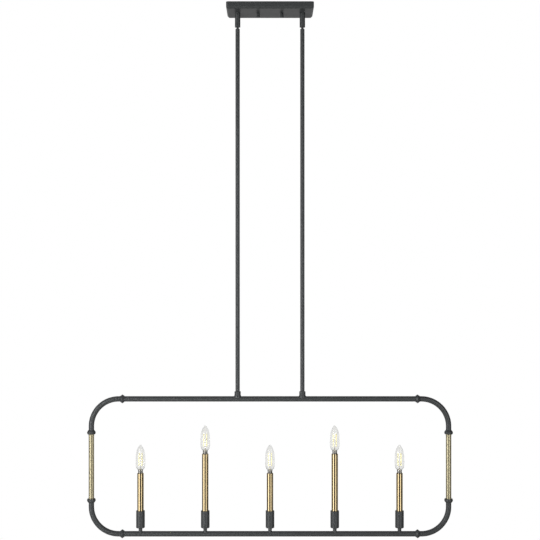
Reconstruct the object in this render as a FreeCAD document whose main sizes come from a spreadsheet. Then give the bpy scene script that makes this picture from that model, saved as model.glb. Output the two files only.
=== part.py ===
import FreeCAD, Part

import math
import os
import re

import Sketcher

# A linear island pendant: two rods hang a rectangular frame of round tube below a ceiling canopy, and
# five candle lights stand in a row on the frame's lower bar. The origin is the middle of the ceiling
# plane that the canopy's rim touches, +Z points up and X runs along the frame, so everything hangs at
# negative heights. All sizes are in millimetres.

SIZES = {
    # Canopy: a pressed steel pan, open at the top
    "canopy_length": 254.0,
    "canopy_width": 120.65,
    "canopy_depth": 20.0,
    "canopy_wall": 1.2,
    "canopy_corner": 7.0,
    "canopy_bevel": 5.0,
    # Mounting strap inside the canopy, screwed to the ceiling box
    "strap_length": 110.0,
    "strap_width": 22.0,
    "strap_thickness": 2.0,
    "box_screw_spacing": 88.9,
    "box_slot_length": 9.0,
    "box_slot_width": 5.0,
    # Knobs with threaded shanks, which pass through the canopy's floor into the strap's tapped holes
    "knob_spacing": 69.85,
    "shank_radius": 2.1,
    "thread_clearance": 0.05,
    "knob_radius": 4.75,
    "knob_height": 12.7,
    "knob_gap": 0.1,
    # Swivel: a ball hangs in the conical seat of a housing under the canopy
    "rod_spacing": 190.5,
    "housing_radius": 8.0,
    "housing_length": 41.0,
    "housing_chamber_radius": 7.0,
    "housing_chamber_height": 14.0,
    "housing_throat_radius": 5.2,
    "neck_thread_radius": 5.0,
    "neck_thread_length": 9.0,
    "locknut_flats": 16.0,
    "locknut_thickness": 4.0,
    "ball_radius": 6.5,
    "ball_clearance": 0.1,
    "ball_neck_radius": 3.3,
    # Stems: one short and three long lengths on each side
    "stem_drop": 4.4,
    "stem_radius": 6.35,
    "stem_short": 152.4,
    "stem_long": 304.8,
    # Bosses that carry the frame on the stems
    "boss_height": 14.0,
    "boss_radius": 7.25,
    "boss_foot_radius": 9.2,
    "boss_foot_height": 5.0,
    "boss_lap": 4.5,
    # Frame: two bent rails and two straight side tubes, with turned collars at the bends and joints
    "tube_radius": 7.94,
    "frame_end": 144.46,
    "frame_height": 396.9,
    "bend_radius": 80.0,
    "bar_collar_inset": 91.3,
    "side_collar_inset": 98.0,
    "collar_radius": 12.7,
    "bar_collar_length": 12.0,
    "bar_collar_rim": 3.0,
    "side_collar_length": 12.0,
    "side_collar_rim": 5.0,
    # Candles on the lower bar
    "candle_pitch": 190.5,
    "candle_neck_radius": 5.5,
    "cup_bottom": 17.9,
    "cup_radius": 12.7,
    "cup_height": 50.1,
    "sleeve_radius": 9.525,
    "sleeve_wall": 0.9,
    "short_candle": 178.1,
    "tall_candle": 235.0,
    # Lamp sockets inside the sleeves
    "socket_radius": 8.3,
    "socket_length": 34.0,
    "socket_post_width": 10.0,
    "socket_post_thickness": 1.5,
    # Bulbs
    "bulb_cap_radius": 7.3,
    "bulb_cap_length": 13.0,
    "bulb_cap_showing": 10.5,
    "glass_shoulder_height": 7.0,
    "glass_shoulder_radius": 12.7,
    "glass_widest_height": 18.0,
    "glass_radius": 14.0,
    "glass_upper_height": 46.0,
    "glass_upper_radius": 13.0,
    "glass_crown_height": 61.0,
    "glass_crown_radius": 9.6,
    "glass_height": 73.5,
    "glass_tip_radius": 1.5,
}

FILE_FOLDER = "parts"
FULL_TURN = 360
QUARTER_TURN = 90
CANDLE_COUNT = 5
LONG_STEMS = 3
BEND_FACETS = 4
ROUND_FACETS = 20
KNOB_FACETS = 16
NECK_FACETS = 12
SOCKET_FACETS = 8
NUT_FACETS = 6
TOLERANCE = 0.01
SIDES = {"left": "-", "right": ""}

doc = FreeCAD.newDocument("island_pendant")
sheet = doc.addObject("Spreadsheet::Sheet", "Sizes")
for row, (alias, size) in enumerate(SIZES.items(), start=1):
    sheet.set(f"A{row}", alias)
    sheet.set(f"B{row}", str(size))
    sheet.setAlias(f"B{row}", alias)
doc.recompute()


def bound(formula):
    """The formula as the document reads it: each size's name becomes a reference to its cell."""
    return re.sub(r"[a-z_]+", lambda word: f"Sizes.{word[0]}" if word[0] in SIZES else word[0], formula)


def value(formula):
    """What the formula comes to with the sizes as they are."""
    return float(sheet.evalExpression(formula))


# ---------------------------------------------------------------------------------------------------------
# Levels and places that several pieces share, as formulas of the sizes
# ---------------------------------------------------------------------------------------------------------

# The ball's seat is the cone that touches it 55 degrees up from its lowest point.
SEAT_ANGLE = 55
SEAT_RADIUS = f"(ball_radius * sin({SEAT_ANGLE}))"
SEAT_RISE = f"(({SEAT_RADIUS} - housing_throat_radius) * tan({SEAT_ANGLE}))"
BALL_HEIGHT = f"({SEAT_RISE} + ball_radius * cos({SEAT_ANGLE}) + ball_clearance)"

CANOPY_FLOOR = "(-canopy_depth)"
HOUSING_FOOT = f"({CANOPY_FLOOR} - housing_length)"
STEM_TOP = f"({HOUSING_FOOT} - stem_drop)"
STEM_FOOT = f"({STEM_TOP} - stem_short - {LONG_STEMS} * stem_long)"
RAIL_TOP = f"({STEM_FOOT} - boss_height)"
FRAME_HALF = f"({CANDLE_COUNT - 1} * candle_pitch / 2 + frame_end)"
TOP_AXIS = f"({RAIL_TOP} - tube_radius)"
BOTTOM_AXIS = f"({TOP_AXIS} - frame_height)"
FRAME_MIDDLE = f"({TOP_AXIS} - frame_height / 2)"
COLLAR_BORE = f"(tube_radius / cos({FULL_TURN / ROUND_FACETS / 2}))"
BAR_COLLAR_PLACE = f"({FRAME_HALF} - bar_collar_inset)"
SIDE_COLLAR_PLACE = "(frame_height / 2 - side_collar_inset)"
CUP_TOP = "(cup_bottom + cup_height)"
CANDLE_TOPS = ["short_candle", "tall_candle", "short_candle", "tall_candle", "short_candle"]


# ---------------------------------------------------------------------------------------------------------
# Ways of making a piece
# ---------------------------------------------------------------------------------------------------------


def plane(body, role):
    """One of the body's own origin planes or axes."""
    return next(feature for feature in body.Origin.OriginFeatures if feature.Role == role)


def new_body(label):
    body = doc.addObject("PartDesign::Body", label)
    body.Label = label
    return body


def put(thing, x="0", z="0"):
    """Place a piece, with its coordinates bound to their formulas."""
    thing.setExpression(".Placement.Base.x", bound(x))
    thing.setExpression(".Placement.Base.z", bound(z))
    return thing


def new_sketch(body, role, name, offset=None, tilt=0):
    """A sketch on one of the body's planes, moved along the plane's normal, or up it and tilted."""
    sketch = body.newObject("Sketcher::SketchObject", name)
    sketch.AttachmentSupport = [(plane(body, role), "")]
    sketch.MapMode = "FlatFace"
    turn_about_x = FreeCAD.Rotation(FreeCAD.Vector(1, 0, 0), tilt)
    sketch.AttachmentOffset = FreeCAD.Placement(FreeCAD.Vector(0, 0, 0), turn_about_x)
    for axis, formula in (offset or {}).items():
        sketch.setExpression(f".AttachmentOffset.Base.{axis}", bound(formula))
    return sketch


def set_size(sketch, constraint, formula):
    number = sketch.addConstraint(constraint)
    sketch.setExpression(f"Constraints[{number}]", bound(formula))


def pin(sketch, edge, end, x, y):
    """Hold one end (1 or 2) or the centre (3) of an edge at formulas for its two coordinates."""
    for kind, axis, formula in (("DistanceX", -2, x), ("DistanceY", -1, y)):
        if formula == "0":
            sketch.addConstraint(Sketcher.Constraint("PointOnObject", edge, end, axis))
        else:
            set_size(sketch, Sketcher.Constraint(kind, -1, 1, edge, end, value(formula)), formula)


def outline(sketch, corners):
    """A closed outline of straight edges through corners that are pairs of formulas."""
    first = sketch.GeometryCount
    spots = [FreeCAD.Vector(value(x), value(y), 0) for x, y in corners]
    for spot, following in zip(spots, spots[1:] + spots[:1]):
        sketch.addGeometry(Part.LineSegment(spot, following), False)
    for number, (x, y) in enumerate(corners):
        following = (number + 1) % len(corners)
        sketch.addConstraint(Sketcher.Constraint("Coincident", first + number, 2, first + following, 1))
        pin(sketch, first + number, 1, x, y)


def polygon(radius, sides):
    """The corners of a regular polygon, from its outer radius."""
    corners = []
    for number in range(sides):
        angle = FULL_TURN * number / sides
        corners.append((f"{radius} * cos({angle})", f"{radius} * sin({angle})"))
    return corners


def ring(sketch, radius, x="0", y="0"):
    """A circle whose centre and radius are formulas."""
    centre = FreeCAD.Vector(value(x), value(y), 0)
    edge = sketch.addGeometry(Part.Circle(centre, FreeCAD.Vector(0, 0, 1), value(radius)), False)
    if x == "0" and y == "0":
        sketch.addConstraint(Sketcher.Constraint("Coincident", edge, 3, -1, 1))
    else:
        pin(sketch, edge, 3, x, y)
    set_size(sketch, Sketcher.Constraint("Radius", edge, value(radius)), radius)


def arc_through(sketch, centre, radius, start, end):
    """Part of a circle, from one angle to another, both in degrees."""
    circle = Part.Circle(FreeCAD.Vector(value(centre[0]), value(centre[1]), 0), FreeCAD.Vector(0, 0, 1),
                         value(radius))
    return sketch.addGeometry(Part.ArcOfCircle(circle, math.radians(start), math.radians(end)), False)


def link_arcs(sketch, arcs):
    """Straight edges from each arc's end to the next arc's start, tangent to both."""
    for arc, following in zip(arcs, arcs[1:] + arcs[:1]):
        line = Part.LineSegment(sketch.Geometry[arc].EndPoint, sketch.Geometry[following].StartPoint)
        edge = sketch.addGeometry(line, False)
        sketch.addConstraint(Sketcher.Constraint("Tangent", arc, 2, edge, 1))
        sketch.addConstraint(Sketcher.Constraint("Tangent", edge, 2, following, 1))


def oblong(sketch, length, width, corner):
    """A rectangle about the sketch's origin, with four round corners."""
    reach_x = f"({length} / 2 - {corner})"
    reach_y = f"({width} / 2 - {corner})"
    arcs = []
    for number, (side_x, side_y) in enumerate((("", ""), ("-", ""), ("-", "-"), ("", "-"))):
        centre = (f"{side_x}{reach_x}", f"{side_y}{reach_y}")
        start = number * QUARTER_TURN
        arcs.append(arc_through(sketch, centre, corner, start, start + QUARTER_TURN))
    link_arcs(sketch, arcs)
    for arc in arcs[1:]:
        sketch.addConstraint(Sketcher.Constraint("Equal", arcs[0], arc))
    pin(sketch, arcs[0], 3, reach_x, reach_y)
    pin(sketch, arcs[2], 3, f"-{reach_x}", f"-{reach_y}")
    sketch.addConstraint(Sketcher.Constraint("Horizontal", arcs[-1] + 1))
    set_size(sketch, Sketcher.Constraint("Radius", arcs[0], value(corner)), corner)


def slot(sketch, x, length, width):
    """A straight slot along X with round ends, centred at x."""
    reach = f"(({length} - {width}) / 2)"
    ends = []
    for side, start in (("-", QUARTER_TURN), ("+", 3 * QUARTER_TURN)):
        middle = f"{x} {side} {reach}"
        ends.append(arc_through(sketch, (middle, "0"), f"{width} / 2", start, start + 2 * QUARTER_TURN))
        pin(sketch, ends[-1], 3, middle, "0")
    link_arcs(sketch, ends)
    set_size(sketch, Sketcher.Constraint("Radius", ends[0], value(f"{width} / 2")), f"{width} / 2")


def turn(body, sketch):
    """The solid that a sketch sweeps out in a full turn about its upright axis."""
    solid = body.newObject("PartDesign::Revolution", f"{body.Name}_turned")
    solid.Profile = sketch
    solid.ReferenceAxis = (sketch, ["V_Axis"])
    solid.Angle = FULL_TURN
    doc.recompute()


def turned(label, corners):
    """A piece turned on the lathe; each corner of its outline is a radius and a height."""
    body = new_body(label)
    sketch = new_sketch(body, "XZ_Plane", f"{label}_profile")
    outline(sketch, corners)
    turn(body, sketch)
    return body


def rod(label, radius, foot, head):
    """A plain round rod between two heights."""
    return turned(label, [("0", foot), (radius, foot), (radius, head), ("0", head)])


def prism(label, radius, foot, head, bore=None, facets=ROUND_FACETS):
    """A rod or tube between two heights, with flats in place of its round, for what repeats."""
    body = new_body(label)
    face = new_sketch(body, "XY_Plane", f"{label}_face", {"z": foot})
    outline(face, polygon(radius, facets))
    if bore:
        outline(face, polygon(bore, facets))
    pad(body, face, f"({head} - {foot})")
    return body


def pad(body, sketch, length, downwards=False):
    block = body.newObject("PartDesign::Pad", f"{sketch.Name}_pad")
    block.Profile = sketch
    block.setExpression("Length", bound(length))
    block.Reversed = downwards
    doc.recompute()
    return block


def pocket(body, sketch, through=None):
    """A cut downwards from the sketch, or both ways through everything; it has to take material away."""
    before = body.Shape.Volume
    cut = body.newObject("PartDesign::Pocket", f"{sketch.Name}_cut")
    cut.Profile = sketch
    if through:
        cut.setExpression("Length", bound(through))
    else:
        cut.Type = "ThroughAll"
        cut.Midplane = True
    doc.recompute()
    if body.Shape.Volume >= before:
        raise ValueError(f"{cut.Label} cuts nothing")
    return cut


def row(body, original, spacing, count):
    """Copies of a feature in a row along X; the first stays where it is."""
    series = body.newObject("PartDesign::LinearPattern", f"{body.Name}_row")
    series.Originals = [original]
    series.Direction = (plane(body, "X_Axis"), [""])
    series.setExpression("Length", bound(f"{count - 1} * {spacing}"))
    series.Occurrences = count
    body.Tip = series
    doc.recompute()


def pair(body, spacing):
    """The body's turned piece twice, half the spacing to the left and to the right of the middle."""
    row(body, body.Group[-1], spacing, 2)
    return put(body, x=f"-{spacing} / 2")


def lofted(label, role, stations, sides=None):
    """A solid through circles in turn, or through polygons, with straight sides between each two; every
    station is the outline's offset from the plane, its radius and its tilt."""
    body = new_body(label)
    outlines = []
    for number, (offset, radius, tilt) in enumerate(stations, start=1):
        outlines.append(new_sketch(body, role, f"{label}_outline_{number}", offset, tilt))
        if sides:
            outline(outlines[-1], polygon(radius, sides))
        else:
            ring(outlines[-1], radius)
    loft = body.newObject("PartDesign::AdditiveLoft", f"{label}_loft")
    loft.Profile = outlines[0]
    loft.Sections = outlines[1:]
    loft.Ruled = True
    doc.recompute()
    return body


def grid(body, originals, steps):
    """Copies of features along several steps in turn; each step is an axis and a distance."""
    many = body.newObject("PartDesign::MultiTransform", f"{body.Name}_grid")
    rows = []
    for role, distance in steps:
        series = body.newObject("PartDesign::LinearPattern", f"{body.Name}_row_{role[0]}")
        series.Direction = (plane(body, role), [""])
        series.setExpression("Length", bound(distance))
        series.Occurrences = 2
        rows.append(series)
    many.Originals = originals
    many.Transformations = rows
    body.Tip = many
    doc.recompute()


def joined(label, members):
    """One piece of the pendant's list that is several separate solids."""
    group = doc.addObject("Part::Compound", label)
    group.Label = label
    group.Links = members
    doc.recompute()
    return group


# ---------------------------------------------------------------------------------------------------------
# Canopy and what is fastened to it
# ---------------------------------------------------------------------------------------------------------


def make_canopy_pan():
    """The pressed pan: a block with bevelled lower edges, hollowed from above, with holes in its floor."""
    body = new_body("canopy_pan")
    rim = new_sketch(body, "XY_Plane", "canopy_rim")
    oblong(rim, "canopy_length", "canopy_width", "canopy_corner")
    block = pad(body, rim, "canopy_depth", downwards=True)
    bevel = body.newObject("PartDesign::Chamfer", "canopy_lower_edge")
    floor = value(CANOPY_FLOOR) + TOLERANCE
    edges = enumerate(block.Shape.Edges, start=1)
    bevel.Base = (block, [f"Edge{number}" for number, edge in edges if edge.BoundBox.ZMax < floor])
    bevel.setExpression("Size", bound("canopy_bevel"))
    doc.recompute()
    hollow = body.newObject("PartDesign::Thickness", "canopy_hollow")
    faces = enumerate(bevel.Shape.Faces, start=1)
    hollow.Base = (bevel, [f"Face{number}" for number, face in faces if face.BoundBox.ZMin > -TOLERANCE])
    hollow.Reversed = True
    hollow.setExpression("Value", bound("canopy_wall"))
    doc.recompute()
    holes = new_sketch(body, "XY_Plane", "canopy_holes")
    for side in SIDES.values():
        ring(holes, "neck_thread_radius", f"{side}rod_spacing / 2")
        ring(holes, "shank_radius + thread_clearance", f"{side}knob_spacing / 2")
    pocket(body, holes, "canopy_depth")
    return body


def make_mounting_strap():
    """A flat bar across the ceiling box, with a slot near each end and a tapped hole for each knob."""
    body = new_body("mounting_strap")
    blank = new_sketch(body, "XY_Plane", "strap_blank")
    outline(blank, [
        ("-strap_length / 2", "-strap_width / 2"),
        ("strap_length / 2", "-strap_width / 2"),
        ("strap_length / 2", "strap_width / 2"),
        ("-strap_length / 2", "strap_width / 2"),
    ])
    pad(body, blank, "strap_thickness", downwards=True)
    holes = new_sketch(body, "XY_Plane", "strap_holes")
    for side in SIDES.values():
        ring(holes, "shank_radius + thread_clearance", f"{side}knob_spacing / 2")
        slot(holes, f"{side}box_screw_spacing / 2", "box_slot_length", "box_slot_width")
    pocket(body, holes, "strap_thickness")
    return body


def make_canopy_knob(side):
    """A knob with grip flats that holds the canopy up, and its threaded shank up through the strap."""
    body = new_body(f"canopy_knob_{side}")
    grip = new_sketch(body, "XY_Plane", f"knob_grip_{side}", {"z": f"{CANOPY_FLOOR} - knob_gap"})
    outline(grip, polygon("knob_radius", KNOB_FACETS))
    pad(body, grip, "knob_height", downwards=True)
    shank = new_sketch(body, "XY_Plane", f"knob_shank_{side}")
    ring(shank, "shank_radius")
    pad(body, shank, "canopy_depth + knob_gap", downwards=True)
    return put(body, x=f"{SIDES[side]}knob_spacing / 2")


# ---------------------------------------------------------------------------------------------------------
# Swivels
# ---------------------------------------------------------------------------------------------------------


def make_swivel_housings():
    """Two turned housings: a threaded neck through the canopy's floor, a chamber and the ball's seat."""
    seat_top = f"({HOUSING_FOOT} + (housing_chamber_radius - housing_throat_radius) * tan({SEAT_ANGLE}))"
    chamber_top = f"({HOUSING_FOOT} + housing_chamber_height)"
    housings = turned("swivel_housings", [
        ("housing_throat_radius", HOUSING_FOOT),
        ("housing_radius", HOUSING_FOOT),
        ("housing_radius", CANOPY_FLOOR),
        ("neck_thread_radius", CANOPY_FLOOR),
        ("neck_thread_radius", f"{CANOPY_FLOOR} + neck_thread_length"),
        ("0", f"{CANOPY_FLOOR} + neck_thread_length"),
        ("0", chamber_top),
        ("housing_chamber_radius", chamber_top),
        ("housing_chamber_radius", seat_top),
    ])
    return pair(housings, "rod_spacing")


def make_housing_locknuts():
    """Two six-sided nuts that clamp the housings to the canopy's floor, from inside."""
    body = new_body("housing_locknuts")
    face = new_sketch(body, "XY_Plane", "locknut_face")
    outline(face, polygon(f"(locknut_flats / 2 / cos({FULL_TURN / NUT_FACETS / 2}))", NUT_FACETS))
    ring(face, "neck_thread_radius")
    pad(body, face, "locknut_thickness")
    pair(body, "rod_spacing")
    return put(body, x="-rod_spacing / 2", z=f"{CANOPY_FLOOR} + canopy_wall")


def make_swivel_balls():
    """Two ball studs: a half ball, flat on top, that rests in its seat, and a neck down to the stem."""
    body = new_body("swivel_balls")
    sketch = new_sketch(body, "XZ_Plane", "swivel_ball_profile")
    low = math.degrees(math.acos(value("ball_neck_radius / ball_radius")))
    arc = arc_through(sketch, ("0", "0"), "ball_radius", -low, 0)
    foot = value(f"-{BALL_HEIGHT} - stem_drop")
    spots = [
        sketch.Geometry[arc].EndPoint,
        FreeCAD.Vector(0, 0, 0),
        FreeCAD.Vector(0, foot, 0),
        FreeCAD.Vector(value("ball_neck_radius"), foot, 0),
        sketch.Geometry[arc].StartPoint,
    ]
    edges = [arc]
    for start, end in zip(spots, spots[1:]):
        edges.append(sketch.addGeometry(Part.LineSegment(start, end), False))
    for before, after in zip(edges, edges[1:] + edges[:1]):
        sketch.addConstraint(Sketcher.Constraint("Coincident", before, 2, after, 1))
    top, axis, bottom, neck = edges[1:]
    sketch.addConstraint(Sketcher.Constraint("Coincident", arc, 3, -1, 1))
    sketch.addConstraint(Sketcher.Constraint("Coincident", axis, 1, -1, 1))
    sketch.addConstraint(Sketcher.Constraint("Horizontal", top))
    sketch.addConstraint(Sketcher.Constraint("Vertical", axis))
    sketch.addConstraint(Sketcher.Constraint("Horizontal", bottom))
    sketch.addConstraint(Sketcher.Constraint("Vertical", neck))
    set_size(sketch, Sketcher.Constraint("Radius", arc, value("ball_radius")), "ball_radius")
    pin(sketch, neck, 1, "ball_neck_radius", f"-{BALL_HEIGHT} - stem_drop")
    turn(body, sketch)
    pair(body, "rod_spacing")
    return put(body, x="-rod_spacing / 2", z=f"{HOUSING_FOOT} + {BALL_HEIGHT}")


# ---------------------------------------------------------------------------------------------------------
# Stems
# ---------------------------------------------------------------------------------------------------------


def make_stem(side, place):
    """One length of stem, numbered from the top; the first is the short one."""
    length = "stem_short" if place == 1 else "stem_long"
    head = STEM_TOP if place == 1 else f"({STEM_TOP} - stem_short - {place - 2} * stem_long)"
    stem = rod(f"stem_{side}_{place}", "stem_radius", f"({head} - {length})", head)
    return put(stem, x=f"{SIDES[side]}rod_spacing / 2")


def make_stem_bosses():
    """Two round bosses between the stems and the top rail, with a flared foot saddled to the rail."""
    profile = [
        ("-boss_lap", "boss_foot_radius"),
        ("boss_foot_height", "boss_radius"),
        ("boss_height", "boss_radius"),
    ]
    stations = [({"z": height}, radius, 0) for height, radius in profile]
    bosses = lofted("stem_bosses", "XY_Plane", stations, ROUND_FACETS)
    pair(bosses, "rod_spacing")
    saddle = new_sketch(bosses, "YZ_Plane", "boss_saddle")
    ring(saddle, "tube_radius", "0", "-tube_radius")
    pocket(bosses, saddle)
    return put(bosses, x="-rod_spacing / 2", z=RAIL_TOP)


# ---------------------------------------------------------------------------------------------------------
# Frame
# ---------------------------------------------------------------------------------------------------------


def make_rail(label, level, fall):
    """A tube whose two ends bend towards the other rail; fall is the side of the rail that they bend to."""
    straight_end = f"({FRAME_HALF} - bend_radius)"
    stations = []
    for step in range(BEND_FACETS + 1):
        angle = QUARTER_TURN * step / BEND_FACETS
        x = f"({straight_end} + bend_radius * sin({angle}))"
        z = f"({fall} * bend_radius * (1 - cos({angle})))"
        stations.append((x, z, angle))
    stations.append((FRAME_HALF, f"({fall} * side_collar_inset)", QUARTER_TURN))
    left_half = [(f"-{x}", z, -angle) for x, z, angle in reversed(stations)]
    circles = [({"z": x, "y": z}, "tube_radius", -fall * angle) for x, z, angle in left_half + stations]
    rail = lofted(label, "YZ_Plane", circles)
    return put(rail, z=level)


def make_side_tube(side):
    """A straight upright between the ends of the two rails."""
    upright = rod(f"side_tube_{side}", "tube_radius", f"-{SIDE_COLLAR_PLACE}", SIDE_COLLAR_PLACE)
    return put(upright, x=f"{SIDES[side]}{FRAME_HALF}", z=FRAME_MIDDLE)


def make_collars(label, role, length, rim, steps):
    """Four beads bored for the tube that they sit on, the first one at the body's origin."""
    profile = [
        (f"(-{length} / 2)", COLLAR_BORE),
        (f"(-{rim} / 2)", "collar_radius"),
        (f"({rim} / 2)", "collar_radius"),
        (f"({length} / 2)", COLLAR_BORE),
    ]
    body = lofted(label, role, [({"z": place}, radius, 0) for place, radius in profile], ROUND_FACETS)
    bead = body.Group[-1]
    mouth = new_sketch(body, role, f"{label}_bore")
    outline(mouth, polygon(COLLAR_BORE, ROUND_FACETS))
    grid(body, [bead, pocket(body, mouth)], steps)
    return body


def make_bar_collars():
    """Four turned beads on the rails, where their bends begin."""
    steps = (("X_Axis", f"2 * {BAR_COLLAR_PLACE}"), ("Z_Axis", "frame_height"))
    body = make_collars("bar_collars", "YZ_Plane", "bar_collar_length", "bar_collar_rim", steps)
    return put(body, x=f"-{BAR_COLLAR_PLACE}", z=BOTTOM_AXIS)


def make_side_collars():
    """Four turned beads over the joints of the rails and the side tubes."""
    steps = (("X_Axis", f"2 * {FRAME_HALF}"), ("Z_Axis", f"2 * {SIDE_COLLAR_PLACE}"))
    body = make_collars("side_collars", "XY_Plane", "side_collar_length", "side_collar_rim", steps)
    return put(body, x=f"-{FRAME_HALF}", z=f"{FRAME_MIDDLE} - {SIDE_COLLAR_PLACE}")


# ---------------------------------------------------------------------------------------------------------
# Candles
# ---------------------------------------------------------------------------------------------------------


def candle_row(body):
    """The body's turned piece five times along the bottom rail."""
    row(body, body.Group[-1], "candle_pitch", CANDLE_COUNT)
    return put(body, x=f"-{CANDLE_COUNT - 1} * candle_pitch / 2", z=BOTTOM_AXIS)


def make_candle_necks():
    """Five short posts between the bottom rail and the cups, saddled to the rail."""
    necks = candle_row(prism("candle_necks", "candle_neck_radius", "0", "cup_bottom", facets=NECK_FACETS))
    saddle = new_sketch(necks, "YZ_Plane", "neck_saddle")
    ring(saddle, "tube_radius")
    pocket(necks, saddle)
    return necks


def make_candle_cups():
    """Five turned cups that carry the candles."""
    return candle_row(prism("candle_cups", "cup_radius", "cup_bottom", CUP_TOP))


def candle_group(label, make_one):
    """One piece for each of the five candles, from the left, made at its own height."""
    members = []
    for number, top in enumerate(CANDLE_TOPS, start=1):
        piece = make_one(f"{label[:-1]}_{number}", top)
        members.append(put(piece, x=f"{number - 1 - CANDLE_COUNT // 2} * candle_pitch", z=BOTTOM_AXIS))
    return joined(label, members)


def make_candle_sleeve(label, top):
    """A plain brass tube that stands on its cup, round the socket."""
    return prism(label, "sleeve_radius", CUP_TOP, top, bore="(sleeve_radius - sleeve_wall)")


def make_lamp_socket(label, top):
    """A socket block with flat sides, which the bulb's cap stands on."""
    head = f"({top} - bulb_cap_length + bulb_cap_showing)"
    body = new_body(label)
    face = new_sketch(body, "XY_Plane", f"{label}_face", {"z": f"{head} - socket_length"})
    outline(face, polygon("socket_radius", SOCKET_FACETS))
    pad(body, face, "socket_length")
    return body


def make_socket_post(label, top):
    """A flat strip that carries the socket on the cup."""
    head = f"({top} - bulb_cap_length + bulb_cap_showing - socket_length)"
    body = new_body(label)
    face = new_sketch(body, "XY_Plane", f"{label}_face", {"z": CUP_TOP})
    half_width = "(socket_post_width / 2)"
    half_thickness = "(socket_post_thickness / 2)"
    outline(face, [
        (f"-{half_width}", f"-{half_thickness}"),
        (half_width, f"-{half_thickness}"),
        (half_width, half_thickness),
        (f"-{half_width}", half_thickness),
    ])
    pad(body, face, f"({head} - {CUP_TOP})")
    return body


def make_bulb_cap(label, top):
    """The metal cap of a bulb, which shows above the sleeve."""
    foot = f"({top} + bulb_cap_showing - bulb_cap_length)"
    return prism(label, "bulb_cap_radius", foot, f"({foot} + bulb_cap_length)")


def make_bulb_glass(label, top):
    """A blown envelope: narrow at the cap, widest low down and drawn in to a small tip."""
    foot = f"({top} + bulb_cap_showing)"
    profile = [
        ("0", "bulb_cap_radius"),
        ("glass_shoulder_height", "glass_shoulder_radius"),
        ("glass_widest_height", "glass_radius"),
        ("glass_upper_height", "glass_upper_radius"),
        ("glass_crown_height", "glass_crown_radius"),
        ("glass_height", "glass_tip_radius"),
    ]
    stations = [({"z": f"{foot} + {height}"}, radius, 0) for height, radius in profile]
    return lofted(label, "XY_Plane", stations, ROUND_FACETS)


# ---------------------------------------------------------------------------------------------------------
# The whole pendant
# ---------------------------------------------------------------------------------------------------------


def make_pendant():
    pieces = [
        make_canopy_pan(),
        make_mounting_strap(),
        make_swivel_housings(),
        make_housing_locknuts(),
        make_swivel_balls(),
        make_stem_bosses(),
        make_rail("top_rail", TOP_AXIS, -1),
        make_rail("bottom_rail", BOTTOM_AXIS, 1),
        make_bar_collars(),
        make_side_collars(),
        make_candle_necks(),
        make_candle_cups(),
        candle_group("candle_sleeves", make_candle_sleeve),
        candle_group("lamp_sockets", make_lamp_socket),
        candle_group("socket_posts", make_socket_post),
        candle_group("bulb_caps", make_bulb_cap),
        candle_group("bulb_glasses", make_bulb_glass),
    ]
    for side in SIDES:
        pieces.append(make_canopy_knob(side))
        pieces.append(make_side_tube(side))
        pieces += [make_stem(side, place) for place in range(1, LONG_STEMS + 2)]
    return pieces


def check(pieces):
    """Stop if any object of the document failed, or any piece has no sound shape."""
    for thing in doc.Objects:
        if "Invalid" in thing.State or "Error" in thing.State:
            raise ValueError(f"{thing.Label} failed: {thing.State}")
    for piece in pieces:
        if piece.Shape.isNull() or not piece.Shape.isValid():
            raise ValueError(f"{piece.Label} has no sound shape")
        if not piece.Shape.Solids:
            raise ValueError(f"{piece.Label} has no solid")


def write(pieces):
    os.makedirs(FILE_FOLDER, exist_ok=True)
    for piece in pieces:
        piece.Shape.exportStep(f"{FILE_FOLDER}/{piece.Label}.step")
        print(piece.Label, len(piece.Shape.Solids), round(piece.Shape.Volume, 1))


pendant = make_pendant()
doc.recompute()
check(pendant)
write(pendant)
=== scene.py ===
import math

import bmesh
import bpy
from mathutils import Matrix, Vector


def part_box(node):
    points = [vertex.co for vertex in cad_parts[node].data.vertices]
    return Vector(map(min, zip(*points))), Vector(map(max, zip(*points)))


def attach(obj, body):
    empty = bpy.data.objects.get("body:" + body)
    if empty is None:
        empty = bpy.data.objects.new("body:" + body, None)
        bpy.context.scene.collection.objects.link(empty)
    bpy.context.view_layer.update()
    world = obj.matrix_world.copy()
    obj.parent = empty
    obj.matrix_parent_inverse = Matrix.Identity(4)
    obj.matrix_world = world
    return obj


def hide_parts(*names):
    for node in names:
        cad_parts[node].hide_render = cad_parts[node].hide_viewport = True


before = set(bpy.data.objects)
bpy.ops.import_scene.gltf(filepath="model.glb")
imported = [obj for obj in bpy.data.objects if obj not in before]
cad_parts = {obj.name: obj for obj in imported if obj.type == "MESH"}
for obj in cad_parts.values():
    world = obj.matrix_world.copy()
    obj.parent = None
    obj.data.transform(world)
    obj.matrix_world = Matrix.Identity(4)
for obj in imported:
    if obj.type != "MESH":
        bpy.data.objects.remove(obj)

bl_info = {
    "name": "Linear island pendant",
    "version": (1, 0, 0),
    "blender": (4, 5, 0),
    "location": "View3D > Sidebar > Pendant",
    "description": "Models a linear island pendant with five candle lamps over its packed frame",
    "category": "Object",
}

MM = 0.001
UP = Vector((0, 0, 1))
ALONG = Vector((1, 0, 0))
QUARTER_TURN = math.pi / 2
MERGE = 0.001 * MM  # points closer than this are one point
NEAR = 0.1 * MM  # what lies this close to a level is on it
FACING = 0.9  # a normal that leans this far to an axis faces along it

SIDES = ("left", "right")
STEMS = (1, 2, 3, 4)  # from the top of a rod
CANDLES = 5
TALL_TO_SHORT = 56.9 * MM  # every other candle stands this much lower

LATHE_STEPS = 64
SMALL_LATHE_STEPS = 48
GRIP_SLICES = 48  # round a canopy knob, every other one sunk
TUBE_SIDES = 48
BEND_STEPS = 20

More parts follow.
